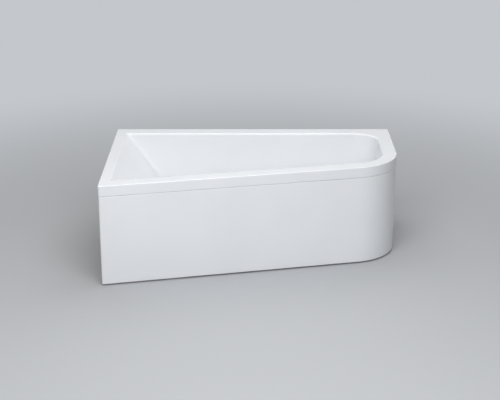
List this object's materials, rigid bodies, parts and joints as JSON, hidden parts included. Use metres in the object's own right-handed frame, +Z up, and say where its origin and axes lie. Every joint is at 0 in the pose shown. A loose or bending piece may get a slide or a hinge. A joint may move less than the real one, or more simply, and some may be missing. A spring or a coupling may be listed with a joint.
{
  "type": "acrylic bathtub",
  "caption": "Asymmetric acrylic bath with a diagonal one-piece apron panel, a round front corner, adjustable feet, a pop-up waste, an overflow and a trap.",
  "frame": {"origin": "on the floor, under the middle of the bath's box", "axes": "+X along the back edge towards the foot end, +Y towards the wall, +Z up"},
  "size_m": [1.7, 1.0973, 0.592],
  "materials": {
    "acrylic": "gloss white sanitary acrylic",
    "chipboard": "raw chipboard",
    "batten_wood": "planed softwood",
    "galvanised_steel": "galvanised",
    "zinc_steel": "bright zinc plated",
    "pad_plastic": "moulded black polypropylene",
    "chrome": "polished chrome plate",
    "epdm": "matt EPDM",
    "white_plastic": "moulded white polypropylene",
    "hose_plastic": "ribbed grey-white polypropylene",
    "grey_plastic": "moulded grey plastic",
    "lever_plastic": "moulded orange acetal",
    "stainless_steel": "drawn stainless steel"
  },
  "bodies": {
    "bath": {"bath_shell": "acrylic", "base_board": "chipboard", "rim_batten_back": "batten_wood", "rim_batten_head": "batten_wood", "rim_batten_front": "batten_wood", "rim_batten_foot": "batten_wood", "leg_rail_head": "galvanised_steel", "leg_rail_middle": "galvanised_steel", "leg_rail_foot": "galvanised_steel", "rail_screws": "zinc_steel", "captive_nuts": "zinc_steel", "lock_nuts": "zinc_steel", "apron_panel": "acrylic", "panel_stiffeners": "chipboard", "panel_clips": "galvanised_steel", "panel_clip_screws": "zinc_steel", "panel_brackets": "galvanised_steel", "panel_bracket_screws": "zinc_steel", "wall_hooks": "galvanised_steel", "waste_flange": "chrome", "waste_seal": "epdm", "waste_body": "white_plastic", "lever_pin": "stainless_steel", "overflow_flange": "chrome", "overflow_seal": "epdm", "overflow_body": "white_plastic", "control_cable": "grey_plastic", "overflow_hose": "hose_plastic", "trap_nut": "grey_plastic", "trap_washer": "epdm", "trap_head": "white_plastic", "trap_cup": "white_plastic", "outlet_nut": "grey_plastic", "outlet_seal": "epdm", "outlet_pipe": "white_plastic"},
    "knob": {"overflow_knob": "chrome", "knob_spindle": "stainless_steel", "cable_drum": "lever_plastic"},
    "plug": {"plug_cap": "chrome", "plug_seal": "epdm", "plug_stem": "stainless_steel"},
    "lever": {"lift_lever": "lever_plastic"},
    "pad_1": {"foot_pad_1": "pad_plastic"},
    "stud_1": {"foot_stud_1": "zinc_steel"},
    "pad_2": {"foot_pad_2": "pad_plastic"},
    "stud_2": {"foot_stud_2": "zinc_steel"},
    "pad_3": {"foot_pad_3": "pad_plastic"},
    "stud_3": {"foot_stud_3": "zinc_steel"},
    "pad_4": {"foot_pad_4": "pad_plastic"},
    "stud_4": {"foot_stud_4": "zinc_steel"},
    "pad_5": {"foot_pad_5": "pad_plastic"},
    "stud_5": {"foot_stud_5": "zinc_steel"},
    "pad_6": {"foot_pad_6": "pad_plastic"},
    "stud_6": {"foot_stud_6": "zinc_steel"}
  },
  "joints": [
    {"name": "knob_turn", "type": "hinge", "parent": "bath", "child": "knob", "pos_m": [0.27941, -0.19174, 0.462], "axis": [-0.217, 0.9706, 0.1045], "range_deg": [0, 90]},
    {"name": "lever_swing", "type": "hinge", "parent": "bath", "child": "lever", "pos_m": [0.22659, 0.12247, 0.118], "axis": [-0.2181, 0.9759, 0], "range_deg": [0, 30]},
    {"name": "plug_lift", "type": "slide", "parent": "bath", "child": "plug", "axis": [0, 0, 1], "range_m": [0, 0.009]},
    {"name": "pad_1_rise", "type": "slide", "parent": "bath", "child": "pad_1", "axis": [0, 0, 1], "range_m": [-0.016, 0.008]},
    {"name": "stud_1_turn", "type": "hinge", "parent": "pad_1", "child": "stud_1", "pos_m": [-0.29, -0.31335, 0.01], "axis": [0, 0, 1], "range_deg": [-3300, 1655]},
    {"name": "pad_2_rise", "type": "slide", "parent": "bath", "child": "pad_2", "axis": [0, 0, 1], "range_m": [-0.016, 0.008]},
    {"name": "stud_2_turn", "type": "hinge", "parent": "pad_2", "child": "stud_2", "pos_m": [-0.29, 0.43876, 0.01], "axis": [0, 0, 1], "range_deg": [-3300, 1655]},
    {"name": "pad_3_rise", "type": "slide", "parent": "bath", "child": "pad_3", "axis": [0, 0, 1], "range_m": [-0.016, 0.008]},
    {"name": "stud_3_turn", "type": "hinge", "parent": "pad_3", "child": "stud_3", "pos_m": [0.03, -0.24182, 0.01], "axis": [0, 0, 1], "range_deg": [-3300, 1655]},
    {"name": "pad_4_rise", "type": "slide", "parent": "bath", "child": "pad_4", "axis": [0, 0, 1], "range_m": [-0.016, 0.008]},
    {"name": "stud_4_turn", "type": "hinge", "parent": "pad_4", "child": "stud_4", "pos_m": [0.03, 0.43876, 0.01], "axis": [0, 0, 1], "range_deg": [-3300, 1655]},
    {"name": "pad_5_rise", "type": "slide", "parent": "bath", "child": "pad_5", "axis": [0, 0, 1], "range_m": [-0.016, 0.008]},
    {"name": "stud_5_turn", "type": "hinge", "parent": "pad_5", "child": "stud_5", "pos_m": [0.48, -0.14123, 0.01], "axis": [0, 0, 1], "range_deg": [-3300, 1655]},
    {"name": "pad_6_rise", "type": "slide", "parent": "bath", "child": "pad_6", "axis": [0, 0, 1], "range_m": [-0.016, 0.008]},
    {"name": "stud_6_turn", "type": "hinge", "parent": "pad_6", "child": "stud_6", "pos_m": [0.48, 0.43876, 0.01], "axis": [0, 0, 1], "range_deg": [-3300, 1655]}
  ],
  "couplings": [
    {"joint": "lever_swing", "follows": "knob_turn", "ratio": 0.33333},
    {"joint": "plug_lift", "follows": "knob_turn", "m_per_rad": 0.0057296},
    {"joint": "stud_1_turn", "follows": "pad_1_rise", "rad_per_m": 3590.4},
    {"joint": "stud_2_turn", "follows": "pad_2_rise", "rad_per_m": 3590.4},
    {"joint": "stud_3_turn", "follows": "pad_3_rise", "rad_per_m": 3590.4},
    {"joint": "stud_4_turn", "follows": "pad_4_rise", "rad_per_m": 3590.4},
    {"joint": "stud_5_turn", "follows": "pad_5_rise", "rad_per_m": 3590.4},
    {"joint": "stud_6_turn", "follows": "pad_6_rise", "rad_per_m": 3590.4}
  ]
}
